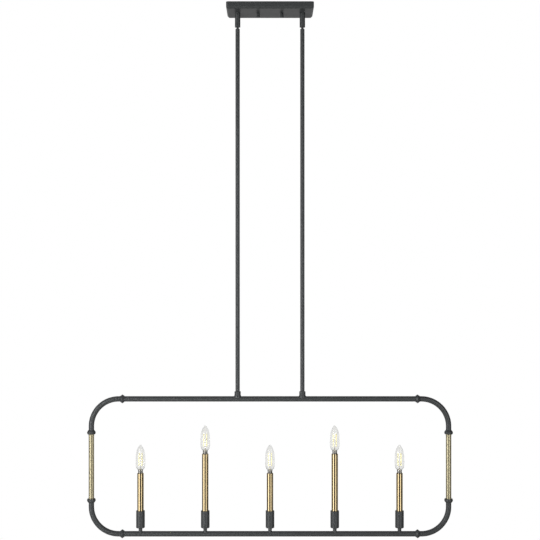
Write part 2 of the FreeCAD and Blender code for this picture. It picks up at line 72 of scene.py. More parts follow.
# Half outlines of the bulb's parts, as radius and height in millimetres. The glass has a blunt
# candle shape. The mount inside it is a flared foot, a waist, a bead and a thin pin.
GLASS_OUTLINE = (
    (7.3, 0), (8.6, 1.2), (10.4, 3.0), (12.0, 5.5), (13.3, 9.5), (13.9, 14.0), (14.0, 18.5),
    (13.95, 24.0), (13.8, 30.0), (13.6, 36.0), (13.2, 43.0), (12.4, 49.5), (11.2, 55.5),
    (9.6, 60.5), (7.7, 64.5), (5.8, 67.8), (4.0, 70.4), (2.4, 72.2), (1.1, 73.2), (0, 73.5),
)
GLASS_HEIGHT = 73.5
CAP_DEPTH = 13.0 * MM  # from the glass down to the cap's foot, of a tall candle
MOUNT_FOOT = ((0, -1), (5.5, -1), (5.5, 0.4), (1.4, 3), (0.9, 6))
MOUNT_BEAD_RADIUS = 1.5 * MM
MOUNT_BEAD_LEVEL = 7.4 * MM
MOUNT_PIN = ((0.5, 9.4), (0.5, 12), (0, 12))
FILAMENT_FOOT = 12 * MM  # above the glass's foot
FILAMENT_TOP = 48 * MM
FILAMENT_OFFSET = 4.2 * MM  # of each stick from the bulb's axis, in both directions

# The studio. A lamp has a name, a place, a size in metres and a power in watts, and then the angle
# of its beam in degrees and whether shiny surfaces mirror it.
FLOOR_SIZE = 5.6
FLOOR_LEVEL = -2.4
LAMP_TARGET = (0, 0, -0.9)
LAMPS = (
    ("key", (-0.9, -2.2, -1.2), (0.7, 1.4), 15.0, 100, False),
    ("left_strip", (-2.23, -2.0, -0.9), (1.5, 3.2), 33.0, 180, True),
    ("right_strip", (1.72, -2.46, -0.9), (1.2, 3.2), 19.0, 180, True),
)
CAMERA_PLACE = (0.0, -2.99, -0.775)
CAMERA_LENS = 67.75
CAMERA_SENSOR = 36.0


def linear(hex_value):
    """An sRGB hex value as linear RGBA."""
    channels = []
    for start in (1, 3, 5):
        share = int(hex_value[start:start + 2], 16) / 255
        channels.append(share / 12.92 if share <= 0.04045 else ((share + 0.055) / 1.055) ** 2.4)
    return (*channels, 1.0)


# ----------------------------------------------------------------------------------------------
# What a user may change
# ----------------------------------------------------------------------------------------------


def length(label, about, default):
    """A size that the sidebar shows in the scene's units."""
    return bpy.props.FloatProperty(name=label, description=about, default=default, min=0.0,
                                   unit="LENGTH")


def colour(label, about, hex_value):
    """A colour that the sidebar shows as a swatch, with an sRGB hex value as its default."""
    return bpy.props.FloatVectorProperty(name=label, description=about, default=linear(hex_value),
                                         size=4, min=0.0, max=1.0, subtype="COLOR")


class PendantSizes(bpy.types.PropertyGroup):
    """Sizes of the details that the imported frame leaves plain."""

    canopy_corner: length("Canopy corner", "Radius of the canopy's upright corners", 7.0 * MM)
    canopy_bevel: length("Canopy bevel", "Width of the bevel round its underside", 5.0 * MM)
    canopy_wall: length("Canopy wall", "Thickness of the canopy's sheet steel", 1.2 * MM)
    canopy_edge: length("Canopy edge", "Rounding of the canopy's pressed edges", 1.0 * MM)
    turned_edge: length("Turned edge", "Rounding of the edges of turned pieces", 0.6 * MM)
    stem_shoulder: length("Stem shoulder", "Rounding at the top of each rod", 1.8 * MM)
    stem_edge: length("Stem edge", "Easing of the stem ends where two stems meet", 0.45 * MM)
    knob_groove: length("Knob groove", "Depth of the grooves round the canopy knobs", 0.35 * MM)
    boss_foot: length("Boss foot", "How far the bosses flare out at the rail", 1.5 * MM)
    rail_bend: length("Rail bend", "Radius of the rails' bends, at the tube's middle", 80.0 * MM)
    sleeve_wall: length("Sleeve wall", "Thickness of the brass sleeves", 0.9 * MM)
    glass_wall: length("Glass wall", "Thickness of the bulbs' glass", 0.7 * MM)
    filament_width: length("Filament width", "Width of a filament stick", 2.4 * MM)


class PendantFinishes(bpy.types.PropertyGroup):
    """Colours of the real materials."""

    enamel: colour("Enamel", "Black baked enamel of the canopy, rods and rails", "#3F4142")
    satin_brass: colour("Satin brass", "Brushed brass of the side tubes", "#EADFB9")
    polished_brass: colour("Polished brass", "Polished brass of the sleeves", "#EAD3A4")
    nickel: colour("Nickel", "Nickel plate of the bulbs' caps", "#C9C6BF")
    zinc: colour("Zinc", "Zinc plate of the strap, nuts and socket posts", "#A9ADB0")
    phenolic: colour("Phenolic", "Moulded phenolic of the lamp sockets", "#1E1B19")
    glass: colour("Glass", "Clear glass of the bulbs", "#F5F5F4")
    phosphor: colour("Phosphor", "Phosphor coating of the filaments", "#F2E8A6")
    floor: colour("Floor", "Studio floor", "#CCCBC7")


# ----------------------------------------------------------------------------------------------
# Materials
# ----------------------------------------------------------------------------------------------


def add(tree, kind, links=None, **settings):
    """Add a node. A setting is a value for an input of that name, with _ for a space, or else for a
    setting of the node's own. links maps an input of the node to another node's output."""
    node = tree.nodes.new(kind)
    for key, value in settings.items():
        socket = key.replace("_", " ")
        if socket in node.inputs:
            node.inputs[socket].default_value = value
        else:
            setattr(node, key, value)
    for name, source in (links or {}).items():
        tree.links.new(source, node.inputs[name])
    return node


def new_material(name, **surface):
    """A material whose surface shader has the given values, and that shader. Where the material is
    there already, it comes back with None for its shader, so that it isn't built twice."""
    material = bpy.data.materials.get(name)
    if material:
        return material, None
    material = bpy.data.materials.new(name)
    material.use_nodes = True
    shader = material.node_tree.nodes["Principled BSDF"]
    for socket, value in surface.items():
        shader.inputs[socket.replace("_", " ")].default_value = value
    return material, shader


def chosen(finish):
    """The colour that the sidebar holds for a finish, as linear RGBA."""
    return tuple(getattr(bpy.context.scene.pendant_finishes, finish))


def toned(rgba, share):
    """A colour made lighter or darker by a share."""
    return [channel * share for channel in rgba[:3]] + [1.0]


def baked_enamel():
    """Black enamel sprayed on steel and baked: satin, with a very faint orange peel 1.5 mm across,
    and a slightly uneven sheen, in clouds of 30 mm, where the spray lay thicker."""
    base = chosen("enamel")
    material, shader = new_material("baked_enamel", Base_Color=base, IOR=1.5)
    if shader:
        tree = material.node_tree
        place = add(tree, "ShaderNodeTexCoord").outputs["Object"]
        peel = add(tree, "ShaderNodeTexNoise", {"Vector": place}, Scale=650.0, Detail=2.0)
        bump = add(tree, "ShaderNodeBump", {"Height": peel.outputs["Fac"]}, Strength=0.01,
                   Distance=0.05 * MM)
        cloud = add(tree, "ShaderNodeTexNoise", {"Vector": place}, Scale=35.0, Detail=1.0)
        sheen = add(tree, "ShaderNodeMapRange", {"Value": cloud.outputs["Fac"]},
                    To_Min=0.31, To_Max=0.35)
        shade = add(tree, "ShaderNodeMix", {"Factor": cloud.outputs["Fac"]}, data_type="RGBA",
                    A=base, B=toned(base, 1.05))
        tree.links.new(shade.outputs["Result"], shader.inputs["Base Color"])
        tree.links.new(bump.outputs["Normal"], shader.inputs["Normal"])
        tree.links.new(sheen.outputs["Result"], shader.inputs["Roughness"])
    return material


def drawn_metal(name, base, roughness, grain, relief):
    """A metal with the fine lines that polishing, brushing or pressing leaves. roughness is a
    range, grain holds how many lines a metre there are in each direction, and relief is the
    strength of their bump."""
    material, shader = new_material(name, Base_Color=base, Metallic=1.0)
    if shader:
        tree = material.node_tree
        place = add(tree, "ShaderNodeTexCoord").outputs["Object"]
        stretch = add(tree, "ShaderNodeMapping", {"Vector": place}, Scale=grain)
        lines = add(tree, "ShaderNodeTexNoise", {"Vector": stretch.outputs["Vector"]},
                    Scale=1.0, Detail=3.0)
        tone = add(tree, "ShaderNodeMix", {"Factor": lines.outputs["Fac"]}, data_type="RGBA",
                   A=toned(base, 0.97), B=base)
        rough = add(tree, "ShaderNodeMapRange", {"Value": lines.outputs["Fac"]},
                    To_Min=roughness[0], To_Max=roughness[1])
        bump = add(tree, "ShaderNodeBump", {"Height": lines.outputs["Fac"]}, Strength=relief,
                   Distance=0.02 * MM)
        tree.links.new(tone.outputs["Result"], shader.inputs["Base Color"])
        tree.links.new(rough.outputs["Result"], shader.inputs["Roughness"])
        tree.links.new(bump.outputs["Normal"], shader.inputs["Normal"])
    return material


def polished_brass():
    """Drawn brass tube, polished and lacquered: nearly a mirror. Its hairlines run up the tube, two
    thirds of a millimetre apart, which is coarser than real ones so that they can show."""
    return drawn_metal("lacquered_brass", chosen("polished_brass"), (0.12, 0.14),
                       (1500.0, 1500.0, 12.0), 0.002)


def satin_brass():
    """Brass tube brushed with a fine belt and lacquered: soft, wide highlights. The brushing runs
    round the tube, in lines about half a millimetre apart."""
    return drawn_metal("brushed_brass", chosen("satin_brass"), (0.385, 0.40),
                       (40.0, 40.0, 2200.0), 0.002)


def nickel_plate():
    """Nickel plate on pressed brass: pale, slightly warm and fairly bright, with marks of the press
    about 1 mm high and 3 mm long."""
    return drawn_metal("bright_nickel", chosen("nickel"), (0.18, 0.28), (300.0, 300.0, 900.0), 0.05)


def zinc_plate():
    """Bright zinc plate on punched steel, with the cloudy spangle of the bath, 4 mm across."""
    material, shader = new_material("bright_zinc", Base_Color=chosen("zinc"), Metallic=1.0)
    if shader:
        tree = material.node_tree
        place = add(tree, "ShaderNodeTexCoord").outputs["Object"]
        spangle = add(tree, "ShaderNodeTexVoronoi", {"Vector": place}, Scale=250.0)
        rough = add(tree, "ShaderNodeMapRange", {"Value": spangle.outputs["Distance"]},
                    To_Min=0.30, To_Max=0.48)
        tree.links.new(rough.outputs["Result"], shader.inputs["Roughness"])
    return material


def moulded_phenolic():
    """Brown-black phenolic, moulded under pressure: dull, with a filler grain of about 0.5 mm."""
    material, shader = new_material("moulded_phenolic", Base_Color=chosen("phenolic"), IOR=1.6)
    if shader:
        tree = material.node_tree
        place = add(tree, "ShaderNodeTexCoord").outputs["Object"]
        filler = add(tree, "ShaderNodeTexNoise", {"Vector": place}, Scale=2000.0, Detail=2.0)
        rough = add(tree, "ShaderNodeMapRange", {"Value": filler.outputs["Fac"]},
                    To_Min=0.45, To_Max=0.6)
        tree.links.new(rough.outputs["Result"], shader.inputs["Roughness"])
    return material


def blown_glass():
    """Clear soda-lime glass, blown thin in a mould: smooth, with faint ripples 8 mm long."""
    material, shader = new_material("blown_glass", Base_Color=chosen("glass"), Roughness=0.02,
                                    IOR=1.5, Transmission_Weight=1.0)
    if shader:
        tree = material.node_tree
        place = add(tree, "ShaderNodeTexCoord").outputs["Object"]
        ripple = add(tree, "ShaderNodeTexNoise", {"Vector": place}, Scale=120.0, Detail=1.0)
        bump = add(tree, "ShaderNodeBump", {"Height": ripple.outputs["Fac"]}, Strength=0.02,
                   Distance=0.1 * MM)
        tree.links.new(bump.outputs["Normal"], shader.inputs["Normal"])
    return material


def phosphor_coat():
    """Silicone with yellow phosphor over a filament's chips: matt, with a faint painted glow that
    makes the sticks read brighter, and faintly banded where the chips lie under it."""
    base = chosen("phosphor")
    # The emission is a faint painted glow that brightens the sticks; it is no lamp.
    material, shader = new_material("phosphor_coat", Base_Color=base, Roughness=0.6,
                                    Emission_Color=base, Emission_Strength=0.35)
    if shader:
        tree = material.node_tree
        place = add(tree, "ShaderNodeTexCoord").outputs["Object"]
        chips = add(tree, "ShaderNodeTexWave", {"Vector": place}, Scale=180.0, bands_direction="Z")
        bump = add(tree, "ShaderNodeBump", {"Height": chips.outputs["Fac"]}, Strength=0.05,
                   Distance=0.1 * MM)
        tree.links.new(bump.outputs["Normal"], shader.inputs["Normal"])
    return material


# ----------------------------------------------------------------------------------------------
# Ways of modelling
# ----------------------------------------------------------------------------------------------


def clear_selection():
    """Leave edit mode and deselect everything."""
    if bpy.context.object and bpy.context.object.mode != "OBJECT":
        bpy.ops.object.mode_set(mode="OBJECT")
    bpy.ops.object.select_all(action="DESELECT")


def work_on(piece):
    """Select one piece alone and make it active."""
    clear_selection()
    piece.select_set(True)
    bpy.context.view_layer.objects.active = piece


def edit(piece):
    """Enter edit mode on one piece alone."""
    work_on(piece)
    bpy.ops.object.mode_set(mode="EDIT")


def leave_edit():
    bpy.ops.object.mode_set(mode="OBJECT")


def named(name):
    """The new object, named, with its place in its mesh and its origin at the world's."""
    piece = bpy.context.object
    piece.name = name
    piece.data.name = name
    bpy.ops.object.transform_apply(location=True, rotation=True, scale=True)
    return piece


def pick(piece, kind, test):
    """In edit mode, select only the faces or edges that pass a test: of a face's middle and normal,
    or of an edge's two ends."""
    bpy.ops.mesh.select_all(action="DESELECT")
    bpy.ops.mesh.select_mode(type=kind)
    shape = bmesh.from_edit_mesh(piece.data)
    found = 0
    if kind == "FACE":
        for face in shape.faces:
            face.select_set(bool(test(face.calc_center_median(), face.normal)))
            found += face.select
    else:
        for edge in shape.edges:
            edge.select_set(bool(test(edge.verts[0].co, edge.verts[1].co)))
            found += edge.select
    if not found:
        raise RuntimeError(f"{piece.name} has no {kind.lower()} to work on")
    shape.select_flush_mode()
    bmesh.update_edit_mesh(piece.data)


def close_up():
    """In edit mode, merge doubles over the whole mesh and turn all faces outwards."""
    bpy.ops.mesh.select_all(action="SELECT")
    bpy.ops.mesh.remove_doubles(threshold=MERGE)
    bpy.ops.mesh.normals_make_consistent(inside=False)


def apply(piece, kind, **settings):
    """Put a modifier on a piece and apply it."""
    work_on(piece)
    modifier = piece.modifiers.new(kind.title(), kind)
    for key, value in settings.items():
        setattr(modifier, key, value)
    bpy.ops.object.modifier_apply(modifier=modifier.name)


def round_edges(piece, width, segments=3, above=32):
    """Round every edge that is sharper than an angle in degrees."""
    apply(piece, "BEVEL", width=width, segments=segments, limit_method="ANGLE",
          angle_limit=math.radians(above), harden_normals=False)


def smooth(piece, below=34):
    """Shade smoothly below an angle in degrees. Large faces keep their own normals, so that a long
    tube reflects as evenly as its middle."""
    work_on(piece)
    bpy.ops.object.shade_smooth_by_angle(angle=math.radians(below))
    apply(piece, "WEIGHTED_NORMAL", mode="FACE_AREA", weight=100, keep_sharp=True)


def turned(name, profile, axis_point, axis=UP, steps=LATHE_STEPS, closed=False):
    """Turn a profile on the lathe: pairs of radius and distance along the axis from a point."""
    outward = ALONG if axis == UP else UP
    spots = [Vector(axis_point) + outward * radius + axis * along for radius, along in profile]
    if closed:
        spots.append(spots[0])
    clear_selection()
    bpy.ops.mesh.primitive_plane_add(size=MM, location=spots[0])
    piece = named(name)
    edit(piece)
    bpy.ops.mesh.select_mode(type="VERT")
    bpy.ops.mesh.select_all(action="SELECT")
    bpy.ops.mesh.merge(type="CENTER")
    for spot, following in zip(spots, spots[1:]):
        bpy.ops.mesh.extrude_region_move(TRANSFORM_OT_translate={"value": following - spot})
    bpy.ops.mesh.select_all(action="SELECT")
    bpy.ops.mesh.spin(steps=steps, angle=math.tau, center=Vector(axis_point), axis=axis)
    close_up()
    leave_edit()
    return piece


def arc(centre, radius, start, end, steps):
    """Points of a profile's round, from one angle to another in degrees, as radius and height."""
    angles = [math.radians(start + (end - start) * step / steps) for step in range(steps + 1)]
    return [(centre[0] + radius * math.cos(angle), centre[1] + radius * math.sin(angle))
            for angle in angles]


def copy_of(piece, name, offset):
    """A copy with its own mesh, moved within that mesh."""
    twin = piece.copy()
    twin.data = piece.data.copy()
    twin.name = name
    twin.data.name = name
    bpy.context.scene.collection.objects.link(twin)
    twin.data.transform(Matrix.Translation(offset))
    return twin


# ----------------------------------------------------------------------------------------------
# Places and finishes
# ----------------------------------------------------------------------------------------------


def radius_of(node):
    """Half a CAD node's depth, which is the radius of a round one."""
    low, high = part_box(node)
    return (high.y - low.y) / 2


def rod_place(side):
    """How far along the pendant a rod stands, from its longest stem."""
    low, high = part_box(f"stem_{side}_2")
    return (low.x + high.x) / 2


def rod_shift():
    """From the left rod to the right one."""
    return Vector((rod_place("right") - rod_place("left"), 0, 0))


def candle_places():
    """How far along the pendant the candles stand, from the row of cups."""
    low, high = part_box("candle_cups")
    radius = radius_of("candle_cups")
    pitch = (high.x - low.x - 2 * radius) / (CANDLES - 1)
    return [low.x + radius + pitch * number for number in range(CANDLES)]


def candle_tops():
    """Heights of the sleeves' tops from the left: short and tall candles in turn."""
    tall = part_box("candle_sleeves")[1].z
    return [tall - TALL_TO_SHORT if number % 2 == 0 else tall for number in range(CANDLES)]


def finished(piece, material, slot, body, *nodes):
    """Give a piece its material, hang it from its body and hide the CAD nodes that it stands for.
    """
    piece.data.materials.clear()
    piece.data.materials.append(material)
    if nodes:
        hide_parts(*nodes)
    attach(piece, body)


def enamelled(piece, body, node):
    """Finish a piece in black enamel."""
    finished(piece, baked_enamel(), "black_enamel", body, node)


def refinish(node, material):
    """Give a CAD node, whose shape stays, its real material."""
    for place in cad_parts[node].material_slots:
        place.material = material


# ----------------------------------------------------------------------------------------------
# Operators, one for each piece or group of like pieces
# ----------------------------------------------------------------------------------------------


class PENDANT_OT_canopy(bpy.types.Operator):
    """Press the canopy pan and finish the strap and nuts inside it"""

    bl_idname = "pendant.canopy"
    bl_label = "Canopy"

    def execute(self, context):
        sizes = context.scene.pendant_sizes
        low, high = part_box("canopy_pan")
        clear_selection()
        bpy.ops.mesh.primitive_cube_add(size=1.0, location=(low + high) / 2, scale=high - low)
        pan = named("canopy")
        edit(pan)
        pick(pan, "FACE", lambda middle, normal: normal.z > FACING)
        bpy.ops.mesh.delete(type="FACE")
        pick(pan, "EDGE", lambda one, other: abs(one.z - other.z) > NEAR)
        bpy.ops.mesh.bevel(offset=sizes.canopy_corner, segments=8, affect="EDGES")
        pick(pan, "EDGE", lambda one, other: max(one.z, other.z) < low.z + NEAR)
        bpy.ops.mesh.bevel(offset=sizes.canopy_bevel, segments=1, affect="EDGES")
        leave_edit()
        apply(pan, "SOLIDIFY", thickness=sizes.canopy_wall, offset=-1.0, use_even_offset=True)
        round_edges(pan, sizes.canopy_edge)
        smooth(pan, 30)
        enamelled(pan, "canopy", "canopy_pan")
        for node in ("mounting_strap", "housing_locknuts"):
            refinish(node, zinc_plate())
        return {"FINISHED"}


class PENDANT_OT_knobs(bpy.types.Operator):
    """Turn the two canopy knobs, with grooves round the grip"""

    bl_idname = "pendant.knobs"
    bl_label = "Canopy knobs"

    def execute(self, context):
        low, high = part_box("canopy_knob_left")
        radius = (high.x - low.x) / 2
        middle = Vector(((low.x + high.x) / 2, 0, 0))
        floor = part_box("canopy_pan")[0].z
        back = floor - 0.1 * MM
        shank = 2.1 * MM
        profile = [(0, low.z), (radius - 1.2 * MM, low.z), (radius, low.z + 1.0 * MM)]
        profile += [(radius, floor - 1.2 * MM), (radius - 1.0 * MM, back)]
        profile += [(shank, back), (shank, high.z), (0, high.z)]
        knob = turned("knob_left", profile, middle, steps=GRIP_SLICES)

        def on_grip(spot, normal):
            """Whether a face is one of every second slice of the knob's side."""
            away = Vector((spot.x - middle.x, spot.y, 0))
            turns = (math.atan2(away.y, away.x) + math.tau) / math.tau
            is_side = away.length > radius * 0.97 and abs(normal.z) < 1 - FACING
            return is_side and int(turns * GRIP_SLICES) % 2 == 0

        edit(knob)
        pick(knob, "FACE", on_grip)
        bpy.ops.mesh.inset(thickness=0.08 * MM, use_individual=True)
        bpy.ops.transform.shrink_fatten(value=-context.scene.pendant_sizes.knob_groove)
        leave_edit()
        round_edges(knob, 0.15 * MM, 2)
        smooth(knob)
        other_low, other_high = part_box("canopy_knob_right")
        shift = Vector(((other_low.x + other_high.x) / 2 - middle.x, 0, 0))
        twin = copy_of(knob, "knob_right", shift)
        for side, piece in zip(SIDES, (knob, twin)):
            enamelled(piece, f"knob_{side}", f"canopy_knob_{side}")
        return {"FINISHED"}


class PENDANT_OT_swivels(bpy.types.Operator):
    """Turn the swivel housings, with their chambers, and the balls that hang in them"""

    bl_idname = "pendant.swivels"
    bl_label = "Swivels"

    def execute(self, context):
        place = (rod_place("left"), 0, 0)
        housing = self.housing(place, context.scene.pendant_sizes.turned_edge)
        stud = self.stud(place)
        shift = rod_shift()
        for side in SIDES:
            is_first = side == "left"
            case = housing if is_first else copy_of(housing, f"swivel_housing_{side}", shift)
            pin = stud if is_first else copy_of(stud, f"swivel_ball_{side}", shift)
            enamelled(case, "canopy", "swivel_housings")
            enamelled(pin, "fixture", "swivel_balls")
        return {"FINISHED"}

    def housing(self, place, edge):
        """A housing: a threaded neck through the canopy's floor over a barrel with a chamber, whose
        foot is the conical seat that carries the ball."""
        low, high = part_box("swivel_housings")
        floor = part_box("canopy_pan")[0].z
        radius = radius_of("swivel_housings")
        neck, throat, chamber = 5.0 * MM, 5.2 * MM, 7.0 * MM
        chamber_top = low.z + 14 * MM
        seat_top = low.z + (chamber - throat) * math.tan(math.radians(55))
        profile = [(0, high.z), (neck, high.z), (neck, floor), (radius, floor), (radius, low.z)]
        profile += [(throat, low.z), (chamber, seat_top), (chamber, chamber_top), (0, chamber_top)]
        housing = turned("swivel_housing_left", profile, place)
        round_edges(housing, edge)
        smooth(housing)
        return housing

    def stud(self, place):
        """A ball, flat on top, with the neck that goes down through the seat to the rod."""
        low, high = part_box("swivel_balls")
        ball = radius_of("swivel_balls")
        neck = 3.3 * MM
        lowest = -math.degrees(math.acos(neck / ball))
        profile = [(0, high.z)] + arc((0, high.z), ball, 0, lowest, 14)
        profile += [(neck, low.z), (0, low.z)]
        stud = turned("swivel_ball_left", profile, place)
        smooth(stud)
        return stud


class PENDANT_OT_stems(bpy.types.Operator):
    """Turn the eight stems: a rounded shoulder at each rod's top and eased ends at the joints"""

    bl_idname = "pendant.stems"
    bl_label = "Stems"

    def execute(self, context):
        sizes = context.scene.pendant_sizes
        ease = sizes.stem_edge
        for side in SIDES:
            for number in STEMS:
                node = f"stem_{side}_{number}"
                low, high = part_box(node)
                radius = radius_of(node)
                top, steps = (sizes.stem_shoulder, 6) if number == STEMS[0] else (ease, 2)
                profile = [(0, high.z)]
                profile += arc((radius - top, high.z - top), top, 90, 0, steps)
                profile += arc((radius - ease, low.z + ease), ease, 0, -90, 2)
                profile.append((0, low.z))
                stem = turned(f"{node}_tube", profile, (rod_place(side), 0, 0))
                smooth(stem, 50)
                enamelled(stem, "fixture", node)
        return {"FINISHED"}


class PENDANT_OT_bosses(bpy.types.Operator):
    """Turn the two bosses that flare out over the top rail"""

    bl_idname = "pendant.bosses"
    bl_label = "Stem bosses"

    def execute(self, context):
        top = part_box("stem_bosses")[1].z
        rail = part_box("top_rail")[1].z
        radius = radius_of("stem_bosses")
        foot = radius + context.scene.pendant_sizes.boss_foot
        lap = 4.5 * MM
        waist = ((0, 6.5), (-0.5, 6), (0, 5.2), (0.4, 2.5))  # past the radius, above the rail
        profile = [(0, top), (radius, top)]
        profile += [(radius + out * MM, rail + up * MM) for out, up in waist]
        profile += [(foot, rail + 0.2 * MM), (foot, rail - lap), (0, rail - lap)]
        boss = turned("stem_boss_left", profile, (rod_place("left"), 0, 0))
        round_edges(boss, 0.35 * MM, 2)
        smooth(boss)
        for piece in (boss, copy_of(boss, "stem_boss_right", rod_shift())):
            enamelled(piece, "fixture", "stem_bosses")
        return {"FINISHED"}


class PENDANT_OT_rails(bpy.types.Operator):
    """Bend the top and bottom rails from round tube"""

    bl_idname = "pendant.rails"
    bl_label = "Rails"

    def execute(self, context):
        bend = context.scene.pendant_sizes.rail_bend
        for name, way in (("top_rail", -1), ("bottom_rail", 1)):
            low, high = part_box(name)
            radius = radius_of(name)
            is_top = way < 0
            end = low.z if is_top else high.z
            level = high.z - radius if is_top else low.z + radius
            turn_level = level + way * bend
            left, right = low.x + radius, high.x - radius
            rise = Vector((0, 0, turn_level - end))
            run = Vector((right - left - 2 * bend, 0, 0))
            clear_selection()
            bpy.ops.mesh.primitive_circle_add(vertices=TUBE_SIDES, radius=radius,
                                              location=(left, 0, end))
            rail = named(f"{name}_tube")
            edit(rail)
            bpy.ops.mesh.select_mode(type="VERT")
            bpy.ops.mesh.select_all(action="SELECT")
            bpy.ops.mesh.extrude_region_move(TRANSFORM_OT_translate={"value": rise})
            bpy.ops.mesh.spin(steps=BEND_STEPS, angle=way * QUARTER_TURN,
                              center=(left + bend, 0, turn_level), axis=(0, 1, 0))
            bpy.ops.mesh.extrude_region_move(TRANSFORM_OT_translate={"value": run})
            bpy.ops.mesh.spin(steps=BEND_STEPS, angle=way * QUARTER_TURN,
                              center=(right - bend, 0, turn_level), axis=(0, 1, 0))
            bpy.ops.mesh.extrude_region_move(TRANSFORM_OT_translate={"value": -rise})
            bpy.ops.mesh.select_all(action="SELECT")
            bpy.ops.mesh.remove_doubles(threshold=MERGE)
            bpy.ops.mesh.fill_holes(sides=0)
            bpy.ops.mesh.normals_make_consistent(inside=False)
            leave_edit()
            smooth(rail)
            enamelled(rail, "fixture", name)
        return {"FINISHED"}


class PENDANT_OT_collars(bpy.types.Operator):
    """Turn the beads on the rails and the rimmed collars over the joints of the side tubes"""

    bl_idname = "pendant.collars"
    bl_label = "Collars"

    def execute(self, context):
        bore = radius_of("side_tube_left")
        half = 6.0 * MM
        self.beads(bore, half)
        self.rims(bore, half)
        return {"FINISHED"}

    def beads(self, bore, half):
        """Four collars along the rails, each with a round bead between two cones."""
        low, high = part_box("bar_collars")
        radius = radius_of("bar_collars")
        cone_foot, cone_top, bead_half = bore + 1.0 * MM, radius - 1.6 * MM, 2.6 * MM
        profile = [(bore, -half), (cone_foot, -half), (cone_top, -bead_half)]
        profile += arc((radius - 2.0 * MM, 0), 2.0 * MM, -50, 50, 8)
        profile += [(cone_top, bead_half), (cone_foot, half), (bore, half)]
        first = Vector((low.x + half, 0, low.z + radius))
        collar = turned("bar_collar_1", profile, first, axis=ALONG, closed=True)
        round_edges(collar, 0.25 * MM, 2)
        smooth(collar, 40)
        across = Vector((high.x - low.x - 2 * half, 0, 0))
        rise = Vector((0, 0, high.z - low.z - 2 * radius))
        collars = [collar]
        for number, shift in enumerate((across, rise, across + rise), start=2):
            collars.append(copy_of(collar, f"bar_collar_{number}", shift))
        for piece in collars:
            enamelled(piece, "fixture", "bar_collars")

    def rims(self, bore, half):
        """Four collars at the ends of the side tubes. The lower two widen upwards and the upper two
        downwards, so they are mirror images and each is turned by itself."""
        low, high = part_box("side_collars")
        radius = radius_of("side_collars")
        lip = half - 0.6 * MM
        rim = [(bore, -half), (bore + 1.2 * MM, -half), (radius - 0.4 * MM, -1.0 * MM)]
        rim += [(radius, 0.4 * MM), (radius - 1.0 * MM, lip), (bore, lip)]
        left, right = low.x + radius, high.x - radius
        lower, upper = low.z + half, high.z - half
        places = ((left, lower, 1), (right, lower, 1), (left, upper, -1), (right, upper, -1))
        for number, (x, z, way) in enumerate(places, start=1):
            profile = [(reach, way * along) for reach, along in rim]
            collar = turned(f"side_collar_{number}", profile, (x, 0, z), closed=True)
            round_edges(collar, 0.6 * MM)
            smooth(collar, 40)
            enamelled(collar, "fixture", "side_collars")


class PENDANT_OT_side_tubes(bpy.types.Operator):
    """Draw the two satin brass uprights, each with a thin ferrule near its top"""

    bl_idname = "pendant.side_tubes"
    bl_label = "Side tubes"

    def execute(self, context):
        for side in SIDES:
            node = f"side_tube_{side}"
            low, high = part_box(node)
            radius = radius_of(node)
            ferrule = radius + 0.5 * MM
            steps = ((radius, 5.6), (ferrule, 5.8), (ferrule, 9.6), (radius, 9.9))
            profile = [(0, high.z), (radius, high.z)]
            profile += [(reach, high.z - down * MM) for reach, down in steps]
            profile += [(radius, low.z), (0, low.z)]
            tube = turned(f"{node}_brass", profile, ((low.x + high.x) / 2, 0, 0))
            round_edges(tube, 0.2 * MM, 2)
            smooth(tube)
            finished(tube, satin_brass(), "satin_brass", "fixture", node)
        return {"FINISHED"}


class PENDANT_OT_cups(bpy.types.Operator):
    """Turn the five candle cups and the short necks below them"""

    bl_idname = "pendant.cups"
    bl_label = "Candle cups"

    def execute(self, context):
        places = candle_places()
        first = (places[0], 0, 0)
        cup = self.cup(first, context.scene.pendant_sizes.turned_edge)
        neck = self.neck(first)
        for number, x in enumerate(places, start=1):
            shift = Vector((x - places[0], 0, 0))
            holder = cup if number == 1 else copy_of(cup, f"candle_cup_{number}", shift)
            post = neck if number == 1 else copy_of(neck, f"candle_neck_{number}", shift)
            enamelled(holder, "fixture", "candle_cups")
            enamelled(post, "fixture", "candle_necks")
        return {"FINISHED"}

    def cup(self, place, edge):
        """A cup with a chamfered foot and a mouth that the sleeve stands in."""
        low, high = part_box("candle_cups")
        radius = radius_of("candle_cups")
        bore = radius_of("candle_sleeves") + 0.15 * MM
        mouth = high.z - 2.5 * MM
        chamfer = 1.2 * MM
        profile = [(0, low.z), (radius - chamfer, low.z), (radius, low.z + chamfer)]
        profile += [(radius, high.z), (bore, high.z), (bore, mouth), (0, mouth)]
        cup = turned("candle_cup_1", profile, place)
        round_edges(cup, edge)
        smooth(cup)
        return cup

    def neck(self, place):
        """A neck that widens where it stands on the rail."""
        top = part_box("candle_cups")[0].z + 0.2 * MM
        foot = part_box("candle_necks")[0].z
        radius = radius_of("candle_necks")
        flare = radius + 0.8 * MM
        lap = 2 * MM
        profile = [(0, top), (radius, top), (radius, foot + 2.5 * MM), (flare, foot + 0.6 * MM)]
        profile += [(flare, foot - lap), (0, foot - lap)]
        neck = turned("candle_neck_1", profile, place, steps=SMALL_LATHE_STEPS)
        round_edges(neck, 0.3 * MM, 2)
        smooth(neck)
        return neck


